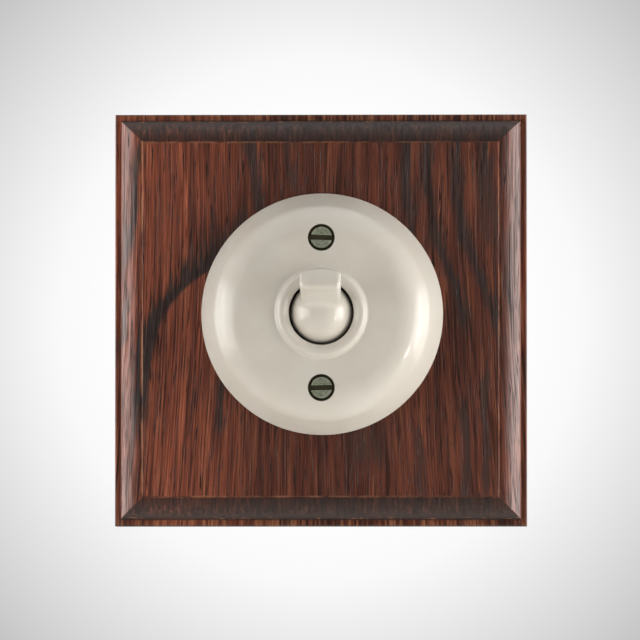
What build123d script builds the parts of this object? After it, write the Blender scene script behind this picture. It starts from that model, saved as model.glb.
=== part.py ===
from build123d import *

import os
from math import cos, radians, sin, sqrt, tan

# A round bakelite toggle switch on a square oak plate, in millimetres.
# +Z is up, the wall is the plane Y = 0 and the front faces -Y: a level is a distance in front of the wall.

os.makedirs("parts", exist_ok=True)

# Oak plate with an ovolo edge
plate_size = 94.0
plate_depth = 15.0
side_ledge = 1.3
end_ledge = 1.5
ovolo_radius = 4.7
quirk_drop = 0.7
quirk_width = 0.3
arris_round = 0.35
ledge_round = 0.4

# The switch's axis, measured from the plate's centre
switch_x = 0.4
switch_z = 1.1

# Bakelite cover
cover_radius = 27.5
cover_wall = 2.2
cover_margin = 10.3
shoulder_radius = 8.6
flank_angle = radians(60.0)
rim_land = 0.8
collar_radius = 9.75
collar_height = 1.3
collar_batter = 0.6
collar_round = 1.0
foot_round = 0.8
lip_width = 1.2
lip_drop = 0.7
lip_round = 0.3
collar_wall = 1.8
collar_skin = 0.5
boss_radius = 4.2
boss_depth = 2.3

# Cover screws and their inserts
cover_screw_inset = 0.2
cover_head_radius = 2.45
cover_head_height = 2.0
cover_head_sink = 0.35
cover_shank_radius = 1.5
cover_screw_length = 7.0
cover_slot_width = 1.1
cover_slot_depth = 0.9
cover_head_round = 0.3
counterbore_gap = 0.6
insert_radius = 2.3
insert_length = 4.8

# Lever, made in one piece with its ball and tail
ball_radius = 7.1
ball_gap = 0.25
pivot_sink = 3.0
throw = radians(26.7)
lever_reach = 16.8
lever_root = 3.0
root_width = 8.7
root_thickness = 2.4
tip_width = 9.35
tip_thickness = 5.3
arch_share = 0.19
round_share = 0.28
tip_round = 1.1
blend_round = 2.0
tail_radius = 3.4
tail_reach = 10.0
pin_radius = 1.0
ball_flat = 6.95
washer_radius = 1.95

# Plunger and spring in the tail
plunger_radius = 2.0
plunger_guide = 3.4
plunger_reach = 12.0
spigot_radius = 1.0
spigot_length = 1.6
spring_radius = 1.5
spring_wire = 0.22
spring_pitch = 1.0
spring_wall = 1.4

# Moving contact, which rocks on a pin
rocker_tilt = radians(7.0)
rocker_gap = 0.1
rocker_strip = 1.0
rocker_width = 5.0
rocker_half = 9.4
dish_half = 5.6
rocker_drop = 1.0
rocker_ear_radius = 1.4
rocker_pin_radius = 0.8
contact_reach = 7.6
contact_radius = 1.4
contact_height = 0.8
contact_round = 0.5
contact_gap = 0.16
fixed_radius = 1.6
fixed_height = 0.6

# Brass strips: the fulcrum bracket and the fixed contact arms
strip = 0.8
bracket_half = 2.0
bracket_gap = 0.8
bracket_reach = 8.6
arm_width = 3.6
arm_inner = 2.0
arm_outer = 6.4
tab_width = 2.4
tab_depth = 2.0
arm_tab_x = -5.0
bracket_tab_x = 7.0
floor_gap = 0.4

# Moulded base
body_radius = 15.0
body_wall = 3.0
floor_thickness = 2.6
flange_thickness = 3.0
post_radius = 3.9
barrier_thickness = 1.6
barrier_depth = 4.0
barrier_x = 0.6
barrier_margin = 1.5

# Pivot frame
frame_sheet = 1.0
frame_rail = 2.5
frame_corner = 2.0
frame_ear_radius = 1.8
frame_swing_gap = 0.9
frame_screw_inset = 0.2
frame_end = 2.4
frame_screw_radius = 1.25
frame_screw_length = 3.6
frame_head_radius = 2.2
frame_head_height = 1.6

# Terminals behind the base and on the mounting plate
terminal_width = 7.0
terminal_height = 6.4
terminal_round = 0.4
arm_terminal_x = -6.0
common_terminal_x = 7.0
wire_depth = 2.5
wire_radius = 1.7
wire_cover = 2.0
terminal_screw_radius = 1.5
terminal_screw_proud = 1.2
terminal_head_radius = 2.5
terminal_head_height = 1.6
earth_x = -27.0
earth_z = -14.0

# Mounting plate
mount_width = 74.0
mount_height = 40.0
mount_thickness = 2.0
mount_corner = 3.0
box_pitch = 60.3
box_hole_radius = 2.0
box_pocket_radius = 4.4
box_pocket_depth = 3.2

# Countersunk screws from the base into the mounting plate
base_screw_radius = 1.5
base_screw_land = 0.4
base_head_radius = 2.9

# Slots and fits
slot_width = 0.8
slot_depth = 0.7
head_round = 0.2
press_gap = 0.01
thread_gap = 0.02
running_gap = 0.05
side_gap = 0.1
slide_gap = 0.05
tab_gap = 0.05
seat_gap = 0.2
screw_gap = 0.2
body_gap = 0.4
skirt_gap = 0.5
recess_gap = 0.3

# Levels in front of the wall
flat_radius = cover_radius - cover_margin
corner_radius = flat_radius + shoulder_radius * tan(flank_angle / 2)
cover_face = plate_depth + rim_land + (cover_radius - corner_radius) * tan(flank_angle)
ceiling = cover_face - cover_wall
collar_level = cover_face + collar_height
collar_ceiling = collar_level - collar_wall
screw_seat = cover_face - cover_head_sink - cover_head_height
boss_level = ceiling - boss_depth
post_level = boss_level - seat_gap
flange_level = plate_depth + flange_thickness
frame_level = flange_level + frame_sheet
pivot_level = cover_face - pivot_sink
dish_radius = plunger_reach + rocker_gap
rocker_level = pivot_level - dish_radius - rocker_strip - rocker_drop
floor_level = rocker_level - rocker_ear_radius - floor_gap - strip
rear_level = floor_level - floor_thickness

# Radii and half widths that follow
hole_radius = ball_radius + ball_gap
cavity_radius = body_radius - body_wall
cover_screw_place = flat_radius - cover_screw_inset
frame_screw_place = body_radius - frame_screw_inset
frame_half_length = frame_screw_place + frame_end
counterbore_radius = cover_head_radius + counterbore_gap
inner_corner = corner_radius - cover_wall * tan(flank_angle / 2)
inner_rim = inner_corner + (ceiling - plate_depth) / tan(flank_angle)
flange_radius = inner_rim - flange_thickness / tan(flank_angle) - skirt_gap
base_screw_offset = (flange_radius - base_screw_land - base_head_radius - screw_gap) / sqrt(2)
ear_inner = hole_radius + side_gap
bore_radius = plunger_radius + slide_gap
nose_reach = plunger_reach - plunger_radius
shoulder_reach = nose_reach - plunger_guide
bore_end = pin_radius + running_gap + spring_wall
block_end = wire_depth + wire_radius + wire_cover

# The moving contact in its own frame, from its pin: along its length and out from the wall
dish_centre = pivot_level - rocker_level
flat_rise = dish_centre - sqrt(dish_radius**2 - dish_half**2)
contact_rise = flat_rise - rocker_strip - contact_height
closed_z = contact_reach * cos(rocker_tilt) + contact_rise * sin(rocker_tilt)
closed_level = rocker_level - contact_reach * sin(rocker_tilt) + contact_rise * cos(rocker_tilt)
fixed_level = closed_level - contact_gap
arm_level = fixed_level - fixed_height - strip

pivot = (switch_x, -pivot_level, switch_z)
front = Axis((0, 0, 0), (0, -1, 0))
switch_axis = Axis((switch_x, 0, switch_z), (0, -1, 0))
cover_screw_points = {"upper": (0, cover_screw_place), "lower": (0, -cover_screw_place)}
base_screw_points = {
    "left": (-base_screw_offset, base_screw_offset),
    "right": (base_screw_offset, -base_screw_offset),
}
frame_screw_points = {"left": (-frame_screw_place, 0), "right": (frame_screw_place, 0)}
terminal_points = {
    "upper": (arm_terminal_x, closed_z),
    "lower": (arm_terminal_x, -closed_z),
    "common": (common_terminal_x, 0),
}


def plate_plane(distance):
    """Plane facing the viewer at a level, centred on the plate."""
    return Plane(origin=(0, -distance, 0), x_dir=(1, 0, 0), z_dir=(0, -1, 0))


def switch_plane(distance, place=(0, 0)):
    """Plane facing the viewer at a level, centred on a place measured from the switch's axis."""
    across, up = place
    origin = (switch_x + across, -distance, switch_z + up)
    return Plane(origin=origin, x_dir=(1, 0, 0), z_dir=(0, -1, 0))


def rear_plane(depth, across, up):
    """Plane facing the wall box, a depth behind the wall's surface."""
    return Plane(origin=(across, depth, up), x_dir=(1, 0, 0), z_dir=(0, 1, 0))


def save(piece, name):
    """Label a finished piece and write it."""
    piece.part.label = name
    export_step(piece.part, f"parts/{name}.step")


turning_plane = Plane(origin=(switch_x, 0, switch_z), x_dir=(1, 0, 0), z_dir=(0, 0, -1))
lever_plane = Plane(origin=pivot, x_dir=(1, 0, 0), z_dir=(0, -cos(throw), sin(throw)))
lever_line = Axis(pivot, lever_plane.z_dir)
pin_plane = Plane(origin=pivot, x_dir=(0, -1, 0), z_dir=(1, 0, 0))
rocker_side = Plane(
    origin=(switch_x, -rocker_level, switch_z),
    x_dir=(0, -sin(rocker_tilt), cos(rocker_tilt)),
    z_dir=(1, 0, 0),
)
rocker_face = Plane(
    origin=rocker_side.from_local_coords((0, flat_rise - rocker_strip, 0)),
    x_dir=(1, 0, 0),
    z_dir=rocker_side.y_dir,
)

# Oak plate: the ovolo is cut all round, and the flat panel stands a quirk above it
moulding_width = plate_size - 2 * side_ledge
moulding_height = plate_size - 2 * end_ledge
panel_width = moulding_width - 2 * (ovolo_radius + quirk_width)
panel_height = moulding_height - 2 * (ovolo_radius + quirk_width)
ledge_level = plate_depth - quirk_drop - ovolo_radius

with BuildPart() as wood_plate:
    with BuildSketch(plate_plane(0)):
        Rectangle(moulding_width, moulding_height)
    extrude(amount=plate_depth - quirk_drop)
    fillet(wood_plate.faces().sort_by(front)[-1].edges(), ovolo_radius)
    with BuildSketch(plate_plane(0)):
        Rectangle(panel_width, panel_height)
    extrude(amount=plate_depth)
    fillet(wood_plate.faces().sort_by(front)[-1].edges(), arris_round)
    with BuildSketch(plate_plane(0)):
        Rectangle(plate_size, plate_size)
    extrude(amount=ledge_level)
    fillet(wood_plate.edges().group_by(SortBy.LENGTH)[-1].sort_by(front)[-4:], ledge_round)
    # Seen from behind: the rebate for the mounting plate, the pockets for the box screws' heads and the bores
    with BuildSketch(plate_plane(0)):
        RectangleRounded(mount_width + 2 * recess_gap, mount_height + 2 * recess_gap, mount_corner)
    extrude(amount=mount_thickness, mode=Mode.SUBTRACT)
    with BuildSketch(plate_plane(mount_thickness)):
        with GridLocations(box_pitch, 0, 2, 1):
            Circle(box_pocket_radius)
    extrude(amount=box_pocket_depth, mode=Mode.SUBTRACT)
    with BuildSketch(switch_plane(0)):
        Circle(body_radius + body_gap)
        with Locations(*base_screw_points.values()):
            Circle(base_screw_radius + screw_gap)
    extrude(amount=plate_depth, mode=Mode.SUBTRACT)
save(wood_plate, "wood_plate")

# Mounting plate, flush with the back of the wood
with BuildPart() as mounting_plate:
    with BuildSketch(plate_plane(0)):
        RectangleRounded(mount_width, mount_height, mount_corner)
        with GridLocations(box_pitch, 0, 2, 1):
            Circle(box_hole_radius, mode=Mode.SUBTRACT)
    extrude(amount=mount_thickness)
    with BuildSketch(switch_plane(0)):
        Circle(body_radius + 2 * body_gap)
        with Locations(*base_screw_points.values()):
            Circle(base_screw_radius + thread_gap)
    extrude(amount=mount_thickness, mode=Mode.SUBTRACT)
save(mounting_plate, "mounting_plate")

# Cover: one turned section with the collar, then the bosses and counterbores for its screws
cover_section = [
    (hole_radius, collar_ceiling),
    (hole_radius, collar_level - lip_drop),
    (hole_radius + lip_width, collar_level),
    (collar_radius, collar_level),
    (collar_radius + collar_batter, cover_face),
    (corner_radius, cover_face),
    (cover_radius, plate_depth + rim_land),
    (cover_radius, plate_depth),
    (inner_rim, plate_depth),
    (inner_corner, ceiling),
    (collar_radius - collar_skin, ceiling),
    (collar_radius - collar_skin, collar_ceiling),
]
cover_rounds = [
    0,
    lip_round,
    lip_round,
    collar_round,
    foot_round,
    shoulder_radius,
    rim_land,
    0,
    0,
    shoulder_radius - cover_wall,
    0,
    0,
]

with BuildPart() as cover:
    with BuildSketch(turning_plane):
        with BuildLine():
            FilletPolyline(*cover_section, radius=cover_rounds, close=True)
        make_face()
    revolve(axis=switch_axis)
    with BuildSketch(switch_plane(boss_level)):
        with Locations(*cover_screw_points.values()):
            Circle(boss_radius)
    extrude(amount=boss_depth + cover_wall / 3)
    with BuildSketch(switch_plane(screw_seat)):
        with Locations(*cover_screw_points.values()):
            Circle(counterbore_radius)
    extrude(amount=cover_face - screw_seat, mode=Mode.SUBTRACT)
    with BuildSketch(switch_plane(boss_level)):
        with Locations(*cover_screw_points.values()):
            Circle(cover_shank_radius + screw_gap)
    extrude(amount=cover_face - boss_level, mode=Mode.SUBTRACT)
save(cover, "cover")


def slotted_screw(seat, head_radius, head_height, edge_round, shank_radius, length, slot):
    """Cheese-head screw: the head stands on its seat, and the shank goes behind it."""
    with BuildPart() as screw:
        with BuildSketch(seat):
            Circle(head_radius)
        extrude(amount=head_height)
        fillet(screw.edges().sort_by(Axis(seat.origin, seat.z_dir))[-1], edge_round)
        with BuildSketch(seat):
            Circle(shank_radius)
        extrude(amount=-length)
        with BuildSketch(seat.offset(head_height)):
            Rectangle(2 * head_radius, slot[0])
        extrude(amount=-slot[1], mode=Mode.SUBTRACT)
    return screw


for side, place in cover_screw_points.items():
    cover_screw = slotted_screw(
        switch_plane(screw_seat, place),
        cover_head_radius,
        cover_head_height,
        cover_head_round,
        cover_shank_radius,
        cover_screw_length,
        (cover_slot_width, cover_slot_depth),
    )
    save(cover_screw, f"cover_screw_{side}")

    with BuildPart() as insert:
        with BuildSketch(switch_plane(post_level, place)):
            Circle(insert_radius)
            Circle(cover_shank_radius + thread_gap, mode=Mode.SUBTRACT)
        extrude(amount=-insert_length)
    save(insert, f"cover_insert_{side}")

# Moulded base: flange on the wood, cup through it, posts under the cover's bosses and barriers behind
with BuildPart() as switch_base:
    with BuildSketch(switch_plane(plate_depth)):
        Circle(flange_radius)
    extrude(amount=flange_thickness)
    with BuildSketch(switch_plane(rear_level)):
        Circle(body_radius)
    extrude(amount=flange_level - rear_level)
    with BuildSketch(switch_plane(floor_level)):
        Circle(cavity_radius)
    extrude(amount=flange_level - floor_level, mode=Mode.SUBTRACT)
    with BuildSketch(switch_plane(flange_level)):
        with Locations(*cover_screw_points.values()):
            Circle(post_radius)
    extrude(amount=post_level - flange_level)
    with BuildSketch(switch_plane(post_level)):
        with Locations(*cover_screw_points.values()):
            Circle(insert_radius + press_gap)
    extrude(amount=-insert_length, mode=Mode.SUBTRACT)
    # Ledges that carry the fixed contact arms, and slots in the floor for the strips' tabs
    with BuildSketch(switch_plane(floor_level)):
        with Locations((0, closed_z), (0, -closed_z)):
            with Locations(((arm_inner - arm_outer) / 2, 0)):
                Rectangle(arm_inner + arm_outer, arm_width)
    extrude(amount=arm_level - floor_level)
    with BuildSketch(switch_plane(arm_level)):
        with Locations((arm_tab_x, closed_z), (arm_tab_x, -closed_z), (bracket_tab_x, 0)):
            Rectangle(tab_width + 2 * tab_gap, strip + 2 * tab_gap)
    extrude(amount=rear_level - arm_level, mode=Mode.SUBTRACT)
    with BuildSketch(switch_plane(flange_level)):
        with Locations(*frame_screw_points.values()):
            Circle(frame_screw_radius + thread_gap)
    extrude(amount=frame_sheet - frame_screw_length, mode=Mode.SUBTRACT)
    with Locations(*(switch_plane(flange_level, place) for place in base_screw_points.values())):
        CounterSinkHole(base_screw_radius + screw_gap, base_head_radius + screw_gap, flange_thickness)
    # Barriers that part the three terminals
    with BuildSketch(switch_plane(rear_level)):
        barrier_half = sqrt((body_radius - barrier_margin) ** 2 - barrier_x**2)
        with Locations((barrier_x, 0)):
            Rectangle(barrier_thickness, 2 * barrier_half)
        with Locations((barrier_x, 0)):
            Rectangle(
                body_radius - barrier_margin + barrier_x,
                barrier_thickness,
                align=(Align.MAX, Align.CENTER),
            )
    extrude(amount=-(rear_level + barrier_depth))
save(switch_base, "switch_base")

# Countersunk screws that draw the base, the wood and the mounting plate together
for side, place in base_screw_points.items():
    with BuildPart() as base_screw:
        with BuildSketch(switch_plane(0, place)):
            Circle(base_screw_radius)
        extrude(amount=flange_level)
        head_cone = base_head_radius - base_screw_radius
        with Locations(switch_plane(flange_level - head_cone / 2, place)):
            Cone(base_screw_radius, base_head_radius, head_cone)
        with BuildSketch(switch_plane(flange_level, place)):
            Rectangle(2 * base_head_radius, slot_width)
        extrude(amount=-slot_depth, mode=Mode.SUBTRACT)
    save(base_screw, f"base_screw_{side}")

# Pivot frame: a sheet on the flange with two ears turned up beside the ball
swing_half = tail_radius / cos(throw) + (pivot_level - flange_level) * tan(throw) + frame_swing_gap
frame_half_height = swing_half + frame_rail

with BuildPart() as pivot_frame:
    with BuildSketch(switch_plane(flange_level)):
        RectangleRounded(2 * frame_half_length, 2 * frame_half_height, frame_corner)
        Rectangle(2 * ear_inner, 2 * swing_half, mode=Mode.SUBTRACT)
        with Locations(*frame_screw_points.values()):
            Circle(frame_screw_radius + screw_gap, mode=Mode.SUBTRACT)
    extrude(amount=frame_sheet)
    for start in (ear_inner, -ear_inner - frame_sheet):
        with BuildSketch(pin_plane.offset(start)):
            Circle(frame_ear_radius)
            with Locations((0, 0)):
                Rectangle(
                    pivot_level - flange_level,
                    2 * frame_ear_radius,
                    align=(Align.MAX, Align.CENTER),
                )
        extrude(amount=frame_sheet)
    with BuildSketch(pin_plane):
        Circle(pin_radius + press_gap)
    extrude(amount=ear_inner + frame_sheet, both=True, mode=Mode.SUBTRACT)
save(pivot_frame, "pivot_frame")

for side, place in frame_screw_points.items():
    frame_screw = slotted_screw(
        switch_plane(frame_level, place),
        frame_head_radius,
        frame_head_height,
        head_round,
        frame_screw_radius,
        frame_screw_length,
        (slot_width, slot_depth),
    )
    save(frame_screw, f"pivot_frame_screw_{side}")

with BuildPart() as dolly_pin:
    with BuildSketch(pin_plane):
        Circle(pin_radius)
    extrude(amount=ear_inner + frame_sheet, both=True)
save(dolly_pin, "dolly_pin")


def paddle_section(plane, width, thickness):
    """Section of the lever with rounded edges and an arched back, both in proportion to its thickness."""
    half = width / 2
    edge = thickness / 2 - arch_share * thickness
    with BuildSketch(plane) as section:
        with BuildLine():
            Polyline((half, edge), (half, -thickness / 2), (-half, -thickness / 2), (-half, edge))
            ThreePointArc((-half, edge), (0, thickness / 2), (half, edge))
        make_face()
        fillet(section.vertices(), round_share * thickness)
    return section.sketch


# Lever, ball and tail, bored for the pin and for the spring
with BuildPart() as dolly:
    root = paddle_section(lever_plane.offset(lever_root), root_width, root_thickness)
    tip = paddle_section(lever_plane.offset(lever_reach), tip_width, tip_thickness)
    loft(sections=[root, tip], ruled=True)
    fillet(dolly.faces().sort_by(lever_line)[-1].edges(), tip_round)
    with Locations(lever_plane):
        Sphere(ball_radius)
    fillet(dolly.edges(Select.NEW), blend_round)
    with BuildSketch(lever_plane):
        Circle(tail_radius)
    extrude(amount=-tail_reach)
    for start in (ball_flat, -ball_radius):
        with BuildSketch(pin_plane.offset(start)):
            Circle(ball_radius)
        extrude(amount=ball_radius - ball_flat, mode=Mode.SUBTRACT)
    with BuildSketch(pin_plane):
        Circle(pin_radius + running_gap)
    extrude(amount=ball_radius, both=True, mode=Mode.SUBTRACT)
    with BuildSketch(lever_plane.offset(-tail_reach)):
        Circle(bore_radius)
    extrude(amount=tail_reach - bore_end, mode=Mode.SUBTRACT)
save(dolly, "dolly")

# Fibre washers on the pin, between the ball's flats and the ears
for side, start in (("left", -ear_inner), ("right", ball_flat + side_gap)):
    with BuildPart() as washer:
        with BuildSketch(pin_plane.offset(start)):
            Circle(washer_radius)
            Circle(pin_radius + running_gap, mode=Mode.SUBTRACT)
        extrude(amount=ear_inner - ball_flat - side_gap)
    save(washer, f"dolly_washer_{side}")

with BuildPart() as dolly_plunger:
    with BuildSketch(lever_plane.offset(-nose_reach)):
        Circle(plunger_radius)
    extrude(amount=plunger_guide)
    with Locations(lever_plane.offset(-nose_reach)):
        Sphere(plunger_radius)
    with BuildSketch(lever_plane.offset(-shoulder_reach)):
        Circle(spigot_radius)
    extrude(amount=spigot_length)
save(dolly_plunger, "dolly_plunger")

with BuildPart() as dolly_spring:
    with BuildLine() as coil:
        Helix(
            spring_pitch,
            shoulder_reach - bore_end - 2 * spring_wire,
            spring_radius,
            center=lever_plane.offset(spring_wire - shoulder_reach).origin,
            direction=lever_plane.z_dir,
        )
    with BuildSketch(Plane(origin=coil.line @ 0, z_dir=coil.line % 0)):
        Circle(spring_wire)
    sweep(path=coil.line, is_frenet=True)
save(dolly_spring, "dolly_spring")

# Moving contact: dished about the lever's pin, so that the plunger's nose sweeps along it
ear_top = dish_centre - dish_radius - rocker_strip / 2

with BuildPart() as rocker:
    with BuildSketch(rocker_side):
        with BuildLine():
            Line((-rocker_half, flat_rise), (-dish_half, flat_rise))
            ThreePointArc(
                (-dish_half, flat_rise), (0, dish_centre - dish_radius), (dish_half, flat_rise)
            )
            Line((dish_half, flat_rise), (rocker_half, flat_rise))
            offset(amount=rocker_strip, side=Side.RIGHT)
        make_face()
    extrude(amount=rocker_width / 2, both=True)
    for start in (rocker_width / 2 - rocker_strip, -rocker_width / 2):
        with BuildSketch(rocker_side.offset(start)):
            Circle(rocker_ear_radius)
            Rectangle(2 * rocker_ear_radius, ear_top, align=(Align.CENTER, Align.MIN))
        extrude(amount=rocker_strip)
    with BuildSketch(rocker_side):
        Circle(rocker_pin_radius + running_gap)
    extrude(amount=rocker_width, both=True, mode=Mode.SUBTRACT)
save(rocker, "rocker")

for side, sign in (("upper", 1), ("lower", -1)):
    with BuildPart() as rocker_contact:
        with BuildSketch(rocker_face):
            with Locations((0, sign * contact_reach)):
                Circle(contact_radius)
        extrude(amount=-contact_height)
        tip_axis = Axis(rocker_face.origin, -rocker_face.z_dir)
        fillet(rocker_contact.edges().sort_by(tip_axis)[-1], contact_round)
    save(rocker_contact, f"rocker_contact_{side}")

    with BuildPart() as fixed_contact:
        with BuildSketch(switch_plane(arm_level + strip, (0, sign * closed_z))):
            Circle(fixed_radius)
        extrude(amount=fixed_height)
    save(fixed_contact, f"fixed_contact_{side}")

    with BuildPart() as contact_arm:
        with BuildSketch(switch_plane(arm_level, (0, sign * closed_z))):
            with Locations(((arm_inner - arm_outer) / 2, 0)):
                Rectangle(arm_inner + arm_outer, arm_width)
        extrude(amount=strip)
        with BuildSketch(switch_plane(arm_level, (arm_tab_x, sign * closed_z))):
            Rectangle(tab_width, strip)
        extrude(amount=rear_level - tab_depth - arm_level)
    save(contact_arm, f"contact_arm_{side}")

# Fulcrum bracket: a strip on the floor with two ears for the moving contact's pin
bracket_ear = rocker_width / 2 + bracket_gap

with BuildPart() as fulcrum_bracket:
    with BuildSketch(switch_plane(floor_level)):
        with Locations(((bracket_reach - bracket_ear - strip) / 2, 0)):
            Rectangle(bracket_reach + bracket_ear + strip, 2 * bracket_half)
    extrude(amount=strip)
    for start in (bracket_ear, -bracket_ear - strip):
        ear_plane = Plane(
            origin=(switch_x + start, -rocker_level, switch_z), x_dir=(0, -1, 0), z_dir=(1, 0, 0)
        )
        with BuildSketch(ear_plane):
            Circle(bracket_half)
            Rectangle(
                rocker_level - floor_level, 2 * bracket_half, align=(Align.MAX, Align.CENTER)
            )
            Circle(rocker_pin_radius + press_gap, mode=Mode.SUBTRACT)
        extrude(amount=strip)
    with BuildSketch(switch_plane(floor_level, (bracket_tab_x, 0))):
        Rectangle(tab_width, strip)
    extrude(amount=rear_level - tab_depth - floor_level)
save(fulcrum_bracket, "fulcrum_bracket")

with BuildPart() as rocker_pin:
    with BuildSketch(rocker_side):
        Circle(rocker_pin_radius)
    extrude(amount=bracket_ear + strip, both=True)
save(rocker_pin, "rocker_pin")


def terminal(seat_level, across, up, tab_across=None):
    """Brass block with a hole along X for the wire, a tapped hole from behind and, if given, a tab slot."""
    with BuildPart() as block:
        with BuildSketch(rear_plane(-seat_level, across, up)):
            RectangleRounded(terminal_width, terminal_height, terminal_round)
        extrude(amount=seat_level + block_end)
        with BuildSketch(Plane(origin=(across, wire_depth, up), x_dir=(0, 0, 1), z_dir=(1, 0, 0))):
            Circle(wire_radius)
        extrude(amount=terminal_width, both=True, mode=Mode.SUBTRACT)
        with BuildSketch(rear_plane(wire_depth, across, up)):
            Circle(terminal_screw_radius + thread_gap)
        extrude(amount=block_end - wire_depth, mode=Mode.SUBTRACT)
        if tab_across is not None:
            with BuildSketch(rear_plane(-seat_level, tab_across, up)):
                Rectangle(tab_width + 2 * tab_gap, strip + 2 * tab_gap)
            extrude(amount=tab_depth + tab_gap, mode=Mode.SUBTRACT)
    return block


def terminal_screw(across, up):
    """Slotted screw backed out of its terminal until the wire's hole is free."""
    return slotted_screw(
        rear_plane(block_end + terminal_screw_proud, across, up),
        terminal_head_radius,
        terminal_head_height,
        head_round,
        terminal_screw_radius,
        terminal_screw_proud + wire_cover - thread_gap,
        (slot_width, slot_depth),
    )


for name, (across, up) in terminal_points.items():
    tab_x = bracket_tab_x if name == "common" else arm_tab_x
    save(terminal(rear_level, switch_x + across, switch_z + up, switch_x + tab_x), f"terminal_{name}")
    save(terminal_screw(switch_x + across, switch_z + up), f"terminal_screw_{name}")

save(terminal(0, earth_x, earth_z), "earth_terminal")
save(terminal_screw(earth_x, earth_z), "earth_screw")
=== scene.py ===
"""Round ivory bakelite toggle switch on a dark oak plate: finishes, turned screws, studio and camera."""

import logging
import math
from dataclasses import dataclass
from enum import Enum
from typing import Any

import bpy
import numpy as np
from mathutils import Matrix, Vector


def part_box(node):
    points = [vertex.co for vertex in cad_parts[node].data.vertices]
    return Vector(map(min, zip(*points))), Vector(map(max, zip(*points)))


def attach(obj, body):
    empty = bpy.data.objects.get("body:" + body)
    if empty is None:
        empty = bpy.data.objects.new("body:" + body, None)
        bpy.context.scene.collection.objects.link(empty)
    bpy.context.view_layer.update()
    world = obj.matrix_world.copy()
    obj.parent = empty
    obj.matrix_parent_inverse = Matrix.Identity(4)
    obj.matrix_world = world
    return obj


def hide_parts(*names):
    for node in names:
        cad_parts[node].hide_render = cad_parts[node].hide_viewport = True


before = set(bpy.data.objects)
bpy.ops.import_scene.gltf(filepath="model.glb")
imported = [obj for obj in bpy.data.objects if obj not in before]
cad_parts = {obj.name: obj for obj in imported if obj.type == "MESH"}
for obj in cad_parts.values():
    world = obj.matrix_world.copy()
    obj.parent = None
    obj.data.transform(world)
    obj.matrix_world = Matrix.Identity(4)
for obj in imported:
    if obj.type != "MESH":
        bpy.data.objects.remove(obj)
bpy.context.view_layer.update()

log = logging.getLogger("switch")
MM = 0.001
Array = np.ndarray
Size = tuple[float, float, float]
Socket = bpy.types.NodeSocket
Tree = bpy.types.NodeTree
# The Mix node's colour sockets by number, because its sockets for other kinds of data share their names
MIX_A, MIX_B, MIX_COLOUR = 6, 7, 2


class Slot(Enum):
    """The record's material slots, one for each finish."""

    OAK = "oak"
    IVORY = "ivory_bakelite"
    BROWN = "brown_bakelite"
    BRONZED = "bronzed_screw"
    ZINC = "zinc_plated_steel"
    STEEL = "ground_steel"
    FIBRE = "fibre"
    NYLON = "plunger_nylon"
    BRASS = "brass"
    STRIP = "contact_strip"
    SILVER = "silver"
    PLATED = "plated_screw"


def linear(colour: str) -> tuple[float, float, float, float]:
    """Turn an sRGB hex colour into linear RGBA.

    Args:
        colour: Six hex digits after a hash.

    Returns:
        Linear red, green and blue, and an alpha of one.
    """
    coded = [int(colour[i:i + 2], 16) / 255 for i in (1, 3, 5)]
    red, green, blue = (c / 12.92 if c <= 0.04045 else ((c + 0.055) / 1.055) ** 2.4 for c in coded)
    return red, green, blue, 1.0


def add(tree: Tree, kind: str, inputs: dict[Any, Any] | None = None, out: Any = 0, **settings: Any) -> Any:
    """Add a node with its settings, input values and links.

    Args:
        tree: The node tree.
        kind: The node's type, without its ShaderNode prefix.
        inputs: Values or output sockets by input name or number.
        out: Name or number of the output that is wanted.
        settings: Attributes of the node.

    Returns:
        The wanted output socket, or None for a node that has no outputs.
    """
    node = tree.nodes.new("ShaderNode" + kind)
    for name, value in settings.items():
        setattr(node, name, value)
    for key, value in (inputs or {}).items():
        if isinstance(value, Socket):
            tree.links.new(value, node.inputs[key])
        else:
            node.inputs[key].default_value = value
    return node.outputs[out] if len(node.outputs) else None


def set_stops(ramp: Socket, stops: list[tuple[float, str]]) -> Socket:
    """Give a colour ramp its stops.

    Args:
        ramp: The ramp's colour output.
        stops: Pairs of position and sRGB hex colour.

    Returns:
        The same output.
    """
    elements = ramp.node.color_ramp.elements
    while len(elements) < len(stops):
        elements.new(1.0)
    for element, (place, colour) in zip(elements, stops):
        element.position = place
        element.color = linear(colour)
    return ramp


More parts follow.
